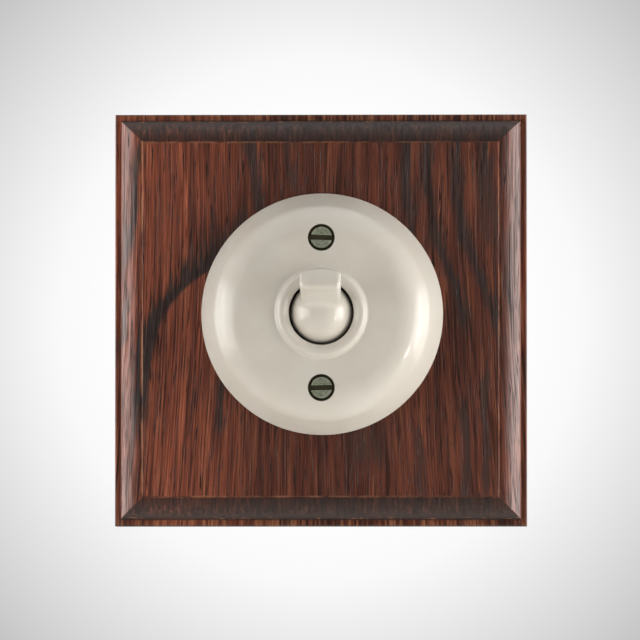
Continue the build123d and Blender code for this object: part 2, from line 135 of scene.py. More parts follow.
@dataclass(frozen=True)
class Finish:
    """A finish: one Principled surface whose pattern each kind of material draws.

    Attributes:
        name: The material's name, for what the real one is.
        colour: Base colour as sRGB hex.
        roughness: Mean roughness.
        metallic: One for bare metal, zero for the rest.
        ior: Index of refraction.
        specular: Strength of the bare surface's own reflection, one half for a common dielectric.
        coat: Weight of a clear coat of wax or lacquer.
        coat_roughness: Roughness of that coat.
    """

    name: str
    colour: str
    roughness: float
    metallic: float = 0.0
    ior: float = 1.5
    specular: float = 0.5
    coat: float = 0.0
    coat_roughness: float = 0.3

    def material(self) -> bpy.types.Material:
        """Make the material and draw its pattern.

        Returns:
            The new material.
        """
        made = bpy.data.materials.new(self.name)
        made.use_nodes = True
        made.diffuse_color = linear(self.colour)
        tree = made.node_tree
        tree.nodes.clear()
        surface = add(tree, "BsdfPrincipled", {
            "Base Color": linear(self.colour),
            "Roughness": self.roughness,
            "Metallic": self.metallic,
            "IOR": self.ior,
            "Specular IOR Level": self.specular,
            "Coat Weight": self.coat,
            "Coat Roughness": self.coat_roughness,
        })
        add(tree, "OutputMaterial", {"Surface": surface})
        self.pattern(tree, surface.node)
        return made

    def pattern(self, tree: Tree, shader: bpy.types.Node) -> None:
        """Draw the finish's pattern into the shader's sockets.

        Args:
            tree: The material's node tree.
            shader: Its Principled node.
        """

    def millimetres(self, tree: Tree) -> Socket:
        """Return the piece's own coordinates in millimetres."""
        place = add(tree, "TexCoord", out="Object")
        return add(tree, "VectorMath", {0: place, "Scale": 1 / MM}, operation="SCALE")

    def blotches(self, tree: Tree, place: Socket, size: Size, detail: float = 2.0) -> Socket:
        """Return noise, about one half on average, whose blotches measure so many millimetres along each axis."""
        stretched = add(tree, "Mapping", {"Vector": place, "Scale": tuple(1 / s for s in size)})
        return add(tree, "TexNoise", {"Vector": stretched, "Scale": 1.0, "Detail": detail, "Roughness": 0.55})

    def near(self, tree: Tree, value: Socket, middle: float, half: float, soft: float) -> Socket:
        """How near a value is to a middle.

        Args:
            tree: The material's node tree.
            value: The value.
            middle: The value that it should have.
            half: How far off it may be.
            soft: How much further it takes to fall to nothing.

        Returns:
            One within half of the middle, falling smoothly to zero.
        """
        off = add(tree, "Math", {0: value, 1: middle}, operation="SUBTRACT")
        off = add(tree, "Math", {0: off}, operation="ABSOLUTE")
        return add(tree, "MapRange", {
            "Value": off, "From Min": half, "From Max": half + soft, "To Min": 1.0, "To Max": 0.0,
        }, interpolation_type="SMOOTHSTEP")


@dataclass(frozen=True)
class MouldedBakelite(Finish):
    """Thermoset moulded in polished steel: an even gloss with faint clouding and a slight waviness.

    Attributes:
        cloud: Other colour that the clouding runs to.
        cloud_size: Size of a cloud in millimetres.
        ripple_size: Pitch of the mould's waviness in millimetres.
        ripple: Height of the waviness in millimetres.
        haze: How much the roughness varies either way.
        dirt_and_shade: Colour of the dirt and the painted shade in recesses, thicker the deeper they lie.
        smear: Width over which the dirt and painted shade fade at a recess's wall, in millimetres.
        settle: Depth over which it thickens, in millimetres.
        recesses: Each recess that holds dirt and painted shade: its middle across and up, its radius, and the
        distance from the wall at which they end, in millimetres.
    """

    cloud: str = "#c4bdae"
    cloud_size: float = 9.0
    ripple_size: float = 2.2
    ripple: float = 0.003
    haze: float = 0.02
    dirt_and_shade: str = "#69634b"
    smear: float = 0.15
    settle: float = 0.6
    recesses: tuple[tuple[float, float, float, float], ...] = ()

    def pattern(self, tree: Tree, shader: bpy.types.Node) -> None:
        """Cloud the colour, vary the gloss a little, ripple the surface, and darken the recesses with dirt and painted
        shade.

        Args:
            tree: The material's node tree.
            shader: Its Principled node.
        """
        place = self.millimetres(tree)
        clouds = self.blotches(tree, place, (self.cloud_size,) * 3, 4.0)
        tone = set_stops(add(tree, "ValToRGB", {"Fac": clouds}), [(0.38, self.cloud), (0.62, self.colour)])
        # Dirt and painted shade in the recesses, darker the deeper they lie
        for recess in self.recesses:
            recess_dirt_and_shade = self.dirt_and_shade_in_recess(tree, place, *recess)
            tone = add(tree, "Mix", {0: recess_dirt_and_shade, MIX_A: tone, MIX_B: linear(self.dirt_and_shade)}, MIX_COLOUR, data_type="RGBA")
        tree.links.new(tone, shader.inputs["Base Color"])
        haze = self.blotches(tree, place, (2 * self.cloud_size,) * 3, 1.0)
        gloss = add(tree, "MapRange", {
            "Value": haze, "To Min": self.roughness - self.haze, "To Max": self.roughness + self.haze,
        })
        tree.links.new(gloss, shader.inputs["Roughness"])
        wave = self.blotches(tree, place, (self.ripple_size,) * 3, 1.0)
        relief = add(tree, "Bump", {"Height": wave, "Strength": 1.0, "Distance": self.ripple * MM})
        tree.links.new(relief, shader.inputs["Normal"])

    def dirt_and_shade_in_recess(self, tree: Tree, place: Socket, across: float, up: float, radius: float, level: float) -> Socket:
        """Share of dirt and painted shade in a round recess, thicker the deeper it lies.

        Args:
            tree: The material's node tree.
            place: Coordinates in millimetres.
            across: The recess's middle to the right.
            up: Its middle upwards.
            radius: Its radius.
            level: Distance from the wall at which the dirt and painted shade end.

        Returns:
            One inside the recess, below the face around it, and zero elsewhere.
        """
        flat = add(tree, "VectorMath", {0: place, 1: (1.0, 0.0, 1.0)}, operation="MULTIPLY")
        apart = add(tree, "VectorMath", {0: flat, 1: (across, 0.0, up)}, out="Value", operation="DISTANCE")
        within = self.near(tree, apart, 0.0, radius, self.smear)
        depth = add(tree, "SeparateXYZ", {0: place}, out="Y")
        sunk = add(tree, "MapRange", {"Value": depth, "From Min": -level, "From Max": self.settle - level})
        return add(tree, "Math", {0: within, 1: sunk}, operation="MULTIPLY")


@dataclass(frozen=True)
class DarkBand:
    """A band of late wood that took the stain almost black.

    Attributes:
        across: Where its middle lies across the grain, in millimetres.
        foot: Height of its lower end, in millimetres.
        head: Height of its upper end, in millimetres.
        width: Its width in millimetres.
        lean: How far it leans across the grain, to the left for each millimetre upwards.
        depth: How black it is, from zero to one.
    """

    across: float
    foot: float
    head: float
    width: float
    lean: float = 0.0
    depth: float = 0.85


@dataclass(frozen=True)
class StainedOak(Finish):
    """Plain-sawn oak, stained dark and waxed: black bands and pores along the grain, redder wood between them.

    Lengths are in millimetres, and the sizes of noise are across, deep and along the grain.

    Attributes:
        black: Colour of the bands that took the most stain.
        pore: Colour at the bottom of the pores.
        worn: Colour where handling has rubbed the stain off the edges.
        fibre: Size of a fibre, drawn far coarser than life so that it shows.
        tatter: Size of the tatters in which bands and wear end.
        streak: Size of a warmer or cooler streak.
        blotch: Size of a patch that took more or less stain.
        line: Size of the slow noise whose middle draws the long fine lines.
        stretch: Size of the stretches in which those lines show.
        vessel: Size of an open pore.
        drift: Size of the slow waves in which the fibres drift sideways.
        swirl: Size of the waves in the growth rings.
        soaked: Size of a patch of end grain that drank more stain.
        rub: Size of a rubbed stretch of an arris.
        chip: Size of a chip off the moulding's rim.
        wave: Size of the waves in the planed surface.
        swell: Height of those waves, in fibres.
        sink: Depth of a pore, in fibres.
        relief: Height of a fibre.
        flank: How far from the middle a change from the left side to the right one runs.
        tear: How far the bands' sides are torn.
        draw: How far the bands' ends are drawn out.
        core: Share of a band's width, to either side, that is black throughout.
        fade: Share of its width over which it then fades.
        edge_x: Where the arch's dark ring would run straight down.
        edge_bend: How far it swings to the right at its crown.
        crown: Height of its crown.
        edge_rise: Height over which the swing grows by the factor e.
        ring_tear: How far the ring's outer side is torn.
        ring_draw: How far its upper end is drawn out.
        arris: Half the width of the raised panel.
        ledge: Half the width inside the plate's outer ledge.
        worked: Distance from the wall beyond which the plate is moulded and handled.
        bands: The dark bands.
    """

    black: str = "#2e2725"
    pore: str = "#1c1310"
    worn: str = "#a8704f"
    fibre: Size = (0.3, 0.5, 16.0)
    tatter: Size = (0.6, 1.0, 17.0)
    streak: Size = (2.0, 4.0, 40.0)
    blotch: Size = (9.0, 14.0, 45.0)
    line: Size = (0.7, 1.4, 60.0)
    stretch: Size = (1.2, 2.0, 16.0)
    vessel: Size = (0.26, 0.4, 6.0)
    drift: Size = (16.0, 30.0, 45.0)
    swirl: Size = (5.0, 20.0, 9.0)
    soaked: Size = (0.7, 2.0, 6.0)
    rub: Size = (3.0, 3.0, 7.0)
    chip: Size = (1.6, 1.6, 1.6)
    wave: Size = (3.5, 3.5, 15.0)
    swell: float = 8.0
    sink: float = 1.5
    relief: float = 0.02
    flank: float = 30.0
    tear: float = 5.0
    draw: float = 30.0
    core: float = 0.12
    fade: float = 0.9
    edge_x: float = -39.6
    edge_bend: float = 12.7
    crown: float = 10.0
    edge_rise: float = 8.5
    ring_tear: float = 8.0
    ring_draw: float = 26.0
    arris: float = 40.7
    ledge: float = 45.6
    worked: float = 1.0
    bands: tuple[DarkBand, ...] = (
        DarkBand(-9.0, 24.0, 43.0, 2.6, 0.28),
        DarkBand(1.0, 29.0, 43.0, 1.8, 0.26, 0.7),
        DarkBand(24.6, 20.0, 44.0, 2.2),
        DarkBand(30.2, -2.0, 43.0, 2.6, 0.02),
        DarkBand(36.6, -4.0, 40.0, 2.2),
        DarkBand(43.6, 18.0, 38.0, 3.6, 0.0, 0.7),
        DarkBand(17.8, -41.0, -24.0, 1.6, 0.0, 0.7),
        DarkBand(27.6, -41.0, -20.0, 1.8, 0.0, 0.7),
        DarkBand(32.4, -41.0, -12.0, 1.6, 0.0, 0.75),
        DarkBand(7.7, -32.0, -25.0, 5.6, 0.0, 0.55),
        DarkBand(-20.1, -26.0, -14.0, 1.7),
        DarkBand(-46.0, 14.0, 39.0, 1.5, 0.0, 0.9),
        DarkBand(-43.4, -8.0, 6.0, 1.2),
    )

    def pattern(self, tree: Tree, shader: bpy.types.Node) -> None:
        """Lay bands, streaks, fine lines and fibres along the grain, and break the wax over the pores.

        Args:
            tree: The material's node tree.
            shader: Its Principled node.
        """
        place = self.millimetres(tree)
        grain = self.grain(tree, place)
        fray = self.blotches(tree, grain, self.tatter, 3.0)
        fibres = self.blotches(tree, grain, self.fibre, 3.0)
        colour = self.stain(tree, place, grain, fray)
        # Fibres: each a little lighter or darker than the next
        shade = add(tree, "MapRange", {
            "Value": fibres, "From Min": 0.3, "From Max": 0.7, "To Min": 0.52, "To Max": 1.5,
        })
        colour = add(tree, "VectorMath", {0: colour, "Scale": shade}, operation="SCALE")
        pores = self.pores(tree, grain)
        soak = self.end_grain(tree, place)
        edge, rubbed = self.wear(tree, place, fray)
        for share, tint in ((pores, self.pore), (soak, self.black), (rubbed, self.worn)):
            colour = add(tree, "Mix", {0: share, MIX_A: colour, MIX_B: linear(tint)}, MIX_COLOUR, data_type="RGBA")
        tree.links.new(colour, shader.inputs["Base Color"])
        # Wax stays on the long grain, and is thin over pores, end grain, rubbed edges and sunken fibres on the left
        across = add(tree, "SeparateXYZ", {0: place}, out="X")
        sunken = add(tree, "MapRange", {
            "Value": fibres, "From Min": 0.4, "From Max": 0.56, "To Min": 0.8, "To Max": 0.0,
        })
        left = add(tree, "MapRange", {
            "Value": across, "From Min": -self.flank, "From Max": self.flank, "To Min": 1.0, "To Max": 0.25,
        })
        bare = add(tree, "Math", {0: sunken, 1: left}, operation="MULTIPLY")
        for share in (pores, soak, edge):
            bare = add(tree, "Math", {0: bare, 1: share}, operation="MAXIMUM")
        wax = add(tree, "MapRange", {"Value": bare, "To Min": self.coat, "To Max": 0.1 * self.coat})
        tree.links.new(wax, shader.inputs["Coat Weight"])
        wave = self.blotches(tree, place, self.wave, 2.0)
        height = add(tree, "Math", {0: wave, 1: self.swell, 2: fibres}, operation="MULTIPLY_ADD")
        height = add(tree, "Math", {0: pores, 1: -self.sink, 2: height}, operation="MULTIPLY_ADD")
        relief = add(tree, "Bump", {"Height": height, "Strength": 1.0, "Distance": self.relief * MM})
        for socket in ("Normal", "Coat Normal"):
            tree.links.new(relief, shader.inputs[socket])

    def end_grain(self, tree: Tree, place: Socket) -> Socket:
        """End grain, which drinks the stain: faces that look up or down, and the mouldings across the grain.

        Args:
            tree: The material's node tree.
            place: Coordinates in millimetres.

        Returns:
            Share of black.
        """
        facing = add(tree, "NewGeometry", out="Normal")
        upright = add(tree, "SeparateXYZ", {0: facing}, out="Z")
        tilt = add(tree, "Math", {0: upright}, operation="ABSOLUTE")
        cut = add(tree, "MapRange", {"Value": tilt, "From Min": 0.1, "From Max": 0.9, "To Max": 0.9})
        away = add(tree, "VectorMath", {0: place}, operation="ABSOLUTE")
        across = add(tree, "SeparateXYZ", {0: away}, out="X")
        height = across.node.outputs["Z"]
        moulding = self.near(tree, height, (self.arris + self.ledge) / 2, (self.ledge - self.arris) / 2 - 0.1, 0.2)
        mitre = add(tree, "Math", {0: height, 1: across}, operation="GREATER_THAN")
        front = add(tree, "Math", {0: across.node.outputs["Y"], 1: self.worked}, operation="GREATER_THAN")
        patches = self.blotches(tree, place, self.soaked, 3.0)
        patches = add(tree, "MapRange", {
            "Value": patches, "From Min": 0.35, "From Max": 0.65, "To Min": 0.95, "To Max": 0.6,
        })
        for share in (mitre, front, patches):
            moulding = add(tree, "Math", {0: moulding, 1: share}, operation="MULTIPLY")
        return add(tree, "Math", {0: cut, 1: moulding}, operation="MAXIMUM")

    def grain(self, tree: Tree, place: Socket) -> Socket:
        """Coordinates that follow the fibres, which run upright and lean outwards low down on the left.

        Across is moved by a slant times the height, up to the height at which the fibres stand upright, and by a
        slow noise; the slant runs from one value on the left to another on the right.

        Args:
            tree: The material's node tree.
            place: Coordinates in millimetres.

        Returns:
            Coordinates in millimetres whose X stays the same along a fibre.
        """
        across = add(tree, "SeparateXYZ", {0: place}, out="X")
        height = across.node.outputs["Z"]
        slant = add(tree, "MapRange", {
            "Value": across, "From Min": -self.flank, "From Max": self.flank, "To Min": -0.06, "To Max": 0.05,
        })
        low = add(tree, "Math", {0: height, 1: 12.0, 2: 14.0}, operation="SMOOTH_MIN")
        sway = self.blotches(tree, place, self.drift, 2.0)
        shift = add(tree, "Math", {0: sway, 1: 2.0, 2: -1.0}, operation="MULTIPLY_ADD")
        shift = add(tree, "Math", {0: slant, 1: low, 2: shift}, operation="MULTIPLY_ADD")
        moved = add(tree, "CombineXYZ", {"X": shift})
        return add(tree, "VectorMath", {0: place, 1: moved}, operation="ADD")

    def figure(self, tree: Tree, place: Socket) -> Socket:
        """Coordinates that follow the growth rings, which swing to the right below the cover's middle.

        Across is moved by a lean times the hyperbolic tangent of the height, by a slant times the height, and
        by a noise; lean and slant run from one value on the left to another on the right.

        Args:
            tree: The material's node tree.
            place: Coordinates in millimetres.

        Returns:
            Coordinates in millimetres whose X stays the same along a growth ring.
        """
        across = add(tree, "SeparateXYZ", {0: place}, out="X")
        height = across.node.outputs["Z"]
        turn = add(tree, "Math", {0: height, 1: 1 / 10, 2: -1.0}, operation="MULTIPLY_ADD")
        turn = add(tree, "Math", {0: turn}, operation="TANH")
        lean = add(tree, "MapRange", {
            "Value": across, "From Min": -15.0, "From Max": 15.0, "To Min": -1.5, "To Max": 4.0,
        })
        slant = add(tree, "MapRange", {
            "Value": across, "From Min": -self.flank, "From Max": self.flank, "To Min": -0.09, "To Max": 0.05,
        })
        sway = self.blotches(tree, place, self.swirl, 2.0)
        shift = add(tree, "Math", {0: sway, 1: 3.0, 2: -1.5}, operation="MULTIPLY_ADD")
        shift = add(tree, "Math", {0: turn, 1: lean, 2: shift}, operation="MULTIPLY_ADD")
        shift = add(tree, "Math", {0: slant, 1: height, 2: shift}, operation="MULTIPLY_ADD")
        moved = add(tree, "CombineXYZ", {"X": shift})
        return add(tree, "VectorMath", {0: place, 1: moved}, operation="ADD")

    def stain(self, tree: Tree, place: Socket, grain: Socket, fray: Socket) -> Socket:
        """Red-brown wood, redder on the left, crossed by the black bands and by the arch's dark ring.

        Args:
            tree: The material's node tree.
            place: Coordinates in millimetres.
            grain: Coordinates that follow the grain.
            fray: Noise that feathers the bands' edges.

        Returns:
            The stained wood's colour.
        """
        streaks = self.blotches(tree, grain, self.streak, 3.0)
        warm = add(tree, "Math", {0: fray, 1: 0.5}, operation="MULTIPLY")
        warm = add(tree, "Math", {0: streaks, 1: 0.5, 2: warm}, operation="MULTIPLY_ADD")
        wood = set_stops(add(tree, "ValToRGB", {"Fac": warm}), [
            (0.36, "#4c281d"),
            (0.45, "#653222"),
            (0.55, "#7a3e29"),
            (0.66, "#93563b"),
        ])
        across = add(tree, "SeparateXYZ", {0: place}, out="X")
        blotch = self.blotches(tree, grain, self.blotch, 2.0)
        side = add(tree, "MapRange", {
            "Value": across, "From Min": -self.flank, "From Max": -10.0, "To Min": 0.85, "To Max": 0.24,
        })
        right = add(tree, "MapRange", {"Value": across, "From Min": 8.0, "From Max": 26.0, "To Max": 0.1})
        side = add(tree, "Math", {0: side, 1: right}, operation="ADD")
        strength = add(tree, "Math", {0: blotch, 1: 0.6, 2: side}, operation="MULTIPLY_ADD")
        wood = add(tree, "VectorMath", {0: wood, "Scale": strength}, operation="SCALE")
        for share in (self.growth(tree, self.figure(tree, place), fray), self.arch(tree, place, fray)):
            wood = add(tree, "Mix", {0: share, MIX_A: wood, MIX_B: linear(self.black)}, MIX_COLOUR, data_type="RGBA")
        return wood

    def growth(self, tree: Tree, figure: Socket, fray: Socket) -> Socket:
        """The dark bands, each with frayed sides and ends.

        Args:
            tree: The material's node tree.
            figure: Coordinates that follow the growth rings.
            fray: Noise along the fibres that feathers the bands, about one half on average.

        Returns:
            Share of black, zero between the bands.
        """
        across = add(tree, "SeparateXYZ", {0: figure}, out="X")
        height = across.node.outputs["Z"]
        torn = add(tree, "Math", {0: fray, 1: self.tear, 2: across}, operation="MULTIPLY_ADD")
        ends = add(tree, "Math", {0: fray, 1: self.draw, 2: height}, operation="MULTIPLY_ADD")
        dark: Any = 0.0
        for band in self.bands:
            beside = add(tree, "Math", {0: height, 1: band.lean, 2: torn}, operation="MULTIPLY_ADD")
            core, fade = self.core * band.width, self.fade * band.width
            side = self.near(tree, beside, band.across + self.tear / 2, core, fade)
            middle, half = (band.head + band.foot) / 2, (band.head - band.foot) / 2
            end = self.near(tree, ends, middle + self.draw / 2, half - 2.0, 6.0)
            both = add(tree, "Math", {0: side, 1: end}, operation="MULTIPLY")
            both = add(tree, "Math", {0: both, 1: band.depth}, operation="MULTIPLY")
            dark = add(tree, "Math", {0: both, 1: dark}, operation="MAXIMUM")
        return dark

    def arch(self, tree: Tree, place: Socket, fray: Socket) -> Socket:
        """Dark growth ring that climbs on the left and swings over to a crown behind the cover.

        Its inner edge lies at edge_x plus edge_bend times e to the power of (z less crown) over edge_rise. Beside
        the edge it is narrow, and above the edge it runs out along the fibres.

        Args:
            tree: The material's node tree.
            place: Coordinates in millimetres.
            fray: Noise that feathers the ring's outer side.

        Returns:
            One at the ring's inner edge, fading to zero outside it, and zero inside.
        """
        across = add(tree, "SeparateXYZ", {0: place}, out="X")
        height = across.node.outputs["Z"]
        steep = 1 / self.edge_rise
        power = add(tree, "Math", {0: height, 1: steep, 2: -self.crown / self.edge_rise}, operation="MULTIPLY_ADD")
        swing = add(tree, "Math", {0: power}, operation="EXPONENT")
        edge = add(tree, "Math", {0: swing, 1: self.edge_bend, 2: self.edge_x}, operation="MULTIPLY_ADD")
        beside = add(tree, "Math", {0: edge, 1: across}, operation="SUBTRACT")
        sharp = add(tree, "MapRange", {"Value": beside, "From Min": -0.4, "From Max": 0.6, "To Max": 0.95})
        ragged = add(tree, "Math", {0: fray, 1: self.ring_tear, 2: beside}, operation="MULTIPLY_ADD")
        narrow = add(tree, "MapRange", {
            "Value": ragged, "From Min": 7.2, "From Max": 9.0, "To Min": 1.0, "To Max": 0.0,
        })
        inside = add(tree, "Math", {0: across, 1: self.edge_x}, operation="SUBTRACT")
        inside = add(tree, "Math", {0: inside, 1: 0.05}, operation="MAXIMUM")
        turned = add(tree, "Math", {0: inside, 1: self.edge_bend}, operation="DIVIDE")
        turned = add(tree, "Math", {0: turned, 1: math.e}, operation="LOGARITHM")
        above = add(tree, "Math", {0: turned, 1: -self.edge_rise, 2: height}, operation="MULTIPLY_ADD")
        above = add(tree, "Math", {0: fray, 1: self.ring_draw, 2: above}, operation="MULTIPLY_ADD")
        run_out = add(tree, "MapRange", {
            "Value": above, "From Min": self.crown + 17.5, "From Max": self.crown + 23.0, "To Min": 1.0, "To Max": 0.0,
        })
        ring = add(tree, "Math", {0: narrow, 1: run_out}, operation="MAXIMUM")
        low = add(tree, "MapRange", {
            "Value": height, "From Min": -30.0, "From Max": -18.0, "To Min": 0.2, "To Max": 1.0,
        })
        left = add(tree, "MapRange", {
            "Value": across, "From Min": -19.0, "From Max": -12.0, "To Min": 1.0, "To Max": 0.0,
        })
        for share in (low, left, sharp):
            ring = add(tree, "Math", {0: ring, 1: share}, operation="MULTIPLY")
        return ring

    def pores(self, tree: Tree, grain: Socket) -> Socket:
        """Long fine lines where a slow noise crosses its middle, and short open pores.

        Args:
            tree: The material's node tree.
            grain: Coordinates that follow the grain.

        Returns:
            One in a pore's middle, zero between the pores.
        """
        wander = self.blotches(tree, grain, self.line, 1.0)
        line = self.near(tree, wander, 0.5, 0.012, 0.05)
        here = self.blotches(tree, grain, self.stretch, 1.0)
        here = add(tree, "MapRange", {"Value": here, "From Min": 0.4, "From Max": 0.6, "To Max": 0.75})
        line = add(tree, "Math", {0: line, 1: here}, operation="MULTIPLY")
        tubes = self.blotches(tree, grain, self.vessel, 1.0)
        dash = add(tree, "MapRange", {"Value": tubes, "From Min": 0.58, "From Max": 0.7, "To Max": 0.9})
        return add(tree, "Math", {0: line, 1: dash}, operation="MAXIMUM")

    def wear(self, tree: Tree, place: Socket, fray: Socket) -> tuple[Socket, Socket]:
        """Stain rubbed off the panel's arrises and, in streaks, off the outer ledge.

        Args:
            tree: The material's node tree.
            place: Coordinates in millimetres.
            fray: Noise along the grain that breaks the wear up.

        Returns:
            Share of bare edge, on the arrises and the ledge, and share of worn wood there.
        """
        away = add(tree, "VectorMath", {0: place}, operation="ABSOLUTE")
        across = add(tree, "SeparateXYZ", {0: away}, out="X")
        depth, height = across.node.outputs["Y"], across.node.outputs["Z"]
        right = add(tree, "SeparateXYZ", {0: place}, out="X")
        fresh = add(tree, "MapRange", {
            "Value": right, "From Min": -self.flank, "From Max": self.flank, "To Min": 1.0, "To Max": 0.4,
        })
        # Arrises: the long ones at the panel's sides, and its ends, which are rubbed half as much
        side = self.near(tree, across, self.arris, 0.1, 0.25)
        panel = add(tree, "Math", {0: height, 1: self.arris}, operation="LESS_THAN")
        side = add(tree, "Math", {0: side, 1: panel}, operation="MULTIPLY")
        end = self.near(tree, height, self.arris - 0.3, 0.1, 0.25)
        inner = add(tree, "Math", {0: across, 1: self.arris}, operation="LESS_THAN")
        end = add(tree, "Math", {0: end, 1: inner}, operation="MULTIPLY")
        edge = add(tree, "Math", {0: side, 1: end}, operation="MAXIMUM")
        chance = self.blotches(tree, place, self.rub, 3.0)
        chance = add(tree, "MapRange", {"Value": chance, "From Min": 0.4, "From Max": 0.6, "To Max": 0.8})
        chance = add(tree, "Math", {0: chance, 1: fresh}, operation="MULTIPLY")
        line = add(tree, "Math", {0: end, 1: 0.5, 2: side}, operation="MULTIPLY_ADD")
        line = add(tree, "Math", {0: line, 1: chance}, operation="MULTIPLY")
        # Chips off the moulding's rim, above and below
        rim = self.near(tree, height, self.ledge - 0.4, 0.1, 0.2)
        within = add(tree, "Math", {0: across, 1: self.ledge}, operation="LESS_THAN")
        chips = self.blotches(tree, place, self.chip, 2.0)
        chips = add(tree, "MapRange", {"Value": chips, "From Min": 0.58, "From Max": 0.66, "To Max": 0.6})
        for share in (within, chips):
            rim = add(tree, "Math", {0: rim, 1: share}, operation="MULTIPLY")
        line = add(tree, "Math", {0: line, 1: rim}, operation="MAXIMUM")
        # Ledge: rubbed in streaks, most of all above and below, but not on the end faces
        outer = add(tree, "Math", {0: across, 1: height}, operation="MAXIMUM")
        ledge = add(tree, "MapRange", {"Value": outer, "From Min": self.ledge - 0.2, "From Max": self.ledge + 0.2})
        streak = add(tree, "MapRange", {"Value": fray, "From Min": 0.46, "From Max": 0.62, "To Max": 0.6})
        mitre = add(tree, "Math", {0: height, 1: across}, operation="GREATER_THAN")
        ends = add(tree, "Math", {0: mitre, 1: 0.7}, operation="MULTIPLY")
        handled = add(tree, "Math", {0: fresh, 1: 0.4}, operation="MULTIPLY")
        handled = add(tree, "Math", {0: handled, 1: ends}, operation="MAXIMUM")
        facing = add(tree, "NewGeometry", out="Normal")
        tilt = add(tree, "VectorMath", {0: facing}, operation="ABSOLUTE")
        tilt = add(tree, "SeparateXYZ", {0: tilt}, out="Z")
        long_grain = add(tree, "Math", {0: tilt, 1: 0.97}, operation="LESS_THAN")
        rubbed = ledge
        for share in (streak, handled, long_grain):
            rubbed = add(tree, "Math", {0: rubbed, 1: share}, operation="MULTIPLY")
        rubbed = add(tree, "Math", {0: line, 1: rubbed}, operation="MAXIMUM")
        bare = add(tree, "Math", {0: ledge, 1: 0.75}, operation="MULTIPLY")
        edge = add(tree, "Math", {0: edge, 1: bare}, operation="MAXIMUM")
        front = add(tree, "Math", {0: depth, 1: self.worked}, operation="GREATER_THAN")
        edge = add(tree, "Math", {0: edge, 1: front}, operation="MULTIPLY")
        return edge, add(tree, "Math", {0: rubbed, 1: front}, operation="MULTIPLY")


@dataclass(frozen=True)
class WorkedMetal(Finish):
    """Metal as worked: fine lines along one direction, a mottled tarnish and a varying polish.

    Attributes:
        tarnish: Colour of the tarnish.
        tarnish_size: Size of a tarnished patch in millimetres.
        line: Spacing of the working lines along X, Y and Z in millimetres.
        depth: Depth of those lines in millimetres.
        polish: How far the roughness falls and rises along the lines.
    """

    tarnish: str = "#6b6658"
    tarnish_size: float = 3.0
    line: Size = (12.0, 0.25, 0.25)
    depth: float = 0.012
    polish: tuple[float, float] = (0.12, 0.14)

    def pattern(self, tree: Tree, shader: bpy.types.Node) -> None:
        """Mottle the colour with tarnish and draw the working lines as fine relief.

        Args:
            tree: The material's node tree.
            shader: Its Principled node.
        """
        place = self.millimetres(tree)
        patches = self.blotches(tree, place, (self.tarnish_size,) * 3, 5.0)
        tone = set_stops(add(tree, "ValToRGB", {"Fac": patches}), [(0.36, self.tarnish), (0.58, self.colour)])
        tree.links.new(tone, shader.inputs["Base Color"])
        lines = self.blotches(tree, place, self.line, 2.0)
        fall, rise = self.polish
        polish = add(tree, "MapRange", {
            "Value": lines, "To Min": self.roughness - fall, "To Max": self.roughness + rise,
        })
        tree.links.new(polish, shader.inputs["Roughness"])
        relief = add(tree, "Bump", {"Height": lines, "Strength": 1.0, "Distance": self.depth * MM})
        tree.links.new(relief, shader.inputs["Normal"])


@dataclass(frozen=True)
class TurnedBrass(WorkedMetal):
    """Brass turned on a lathe and bronzed: rubbed grey-green on the face, with old polish and painted shade dark in
    the slot.

    Attributes:
        grime_and_shade: Colour of grime and painted shade where no cloth reaches, by the piece's own grime_and_shade
            attribute.
    """

    grime_and_shade: str = "#413b29"

    def pattern(self, tree: Tree, shader: bpy.types.Node) -> None:
        """Mottle the metal as worked metal, then darken and dull it by the grime and painted shade.

        Args:
            tree: The material's node tree.
            shader: Its Principled node.
        """
        super().pattern(tree, shader)
        share = add(tree, "Attribute", out="Fac", attribute_name="grime_and_shade")
        metal = shader.inputs["Base Color"].links[0].from_socket
        colour = add(tree, "Mix", {0: share, MIX_A: metal, MIX_B: linear(self.grime_and_shade)}, MIX_COLOUR, data_type="RGBA")
        tree.links.new(colour, shader.inputs["Base Color"])
        bare = add(tree, "MapRange", {"Value": share, "To Min": self.metallic, "To Max": 0.0})
        tree.links.new(bare, shader.inputs["Metallic"])


@dataclass(frozen=True)
class PaleFloor(Finish):
    """Matt pale floor that the camera sees near its own colour, with the object's shadow, and clear from below.

    Attributes:
        own: Share of its own colour that the camera sees whatever the light there is.
    """

    own: float = 0.75

    def pattern(self, tree: Tree, shader: bpy.types.Node) -> None:
        """Show the camera a share of the plain colour in place of the lit floor, and nothing from below.

        Args:
            tree: The material's node tree.
            shader: Its Principled node.
        """
        plain = add(tree, "Emission", {"Color": linear(self.colour), "Strength": 1.0})
        path = add(tree, "LightPath", out="Is Camera Ray")
        share = add(tree, "Math", {0: path, 1: self.own}, operation="MULTIPLY")
        mixed = add(tree, "MixShader", {0: share, 1: shader.outputs[0], 2: plain})
        # The mesh faces down, so its back is the side that is seen from above; a camera below looks through it
        above = add(tree, "NewGeometry", out="Backfacing")
        under = add(tree, "Math", {0: path, 1: above}, operation="GREATER_THAN")
        mixed = add(tree, "MixShader", {0: under, 1: mixed, 2: add(tree, "BsdfTransparent")})
        output = next(node for node in tree.nodes if node.type == "OUTPUT_MATERIAL")
        tree.links.new(mixed, output.inputs["Surface"])


def recess(node: str, radius: float, level: float) -> tuple[float, float, float, float]:
    """Place of a recess that has its middle in a node's middle.

    Args:
        node: The node's name.
        radius: The recess's radius, in millimetres.
        level: Distance from the wall at which the dirt and painted shade in it end, in millimetres.

    Returns:
        Middle across, middle up, radius and level, in millimetres.
    """
    low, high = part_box(node)
    return (low.x + high.x) / 2 / MM, (low.z + high.z) / 2 / MM, radius, level


# The cover screws' counterbores and the level up to which dirt and painted shade fill them, in millimetres
COUNTERBORE, DIRT_AND_SHADE_LEVEL = 3.05, 24.9

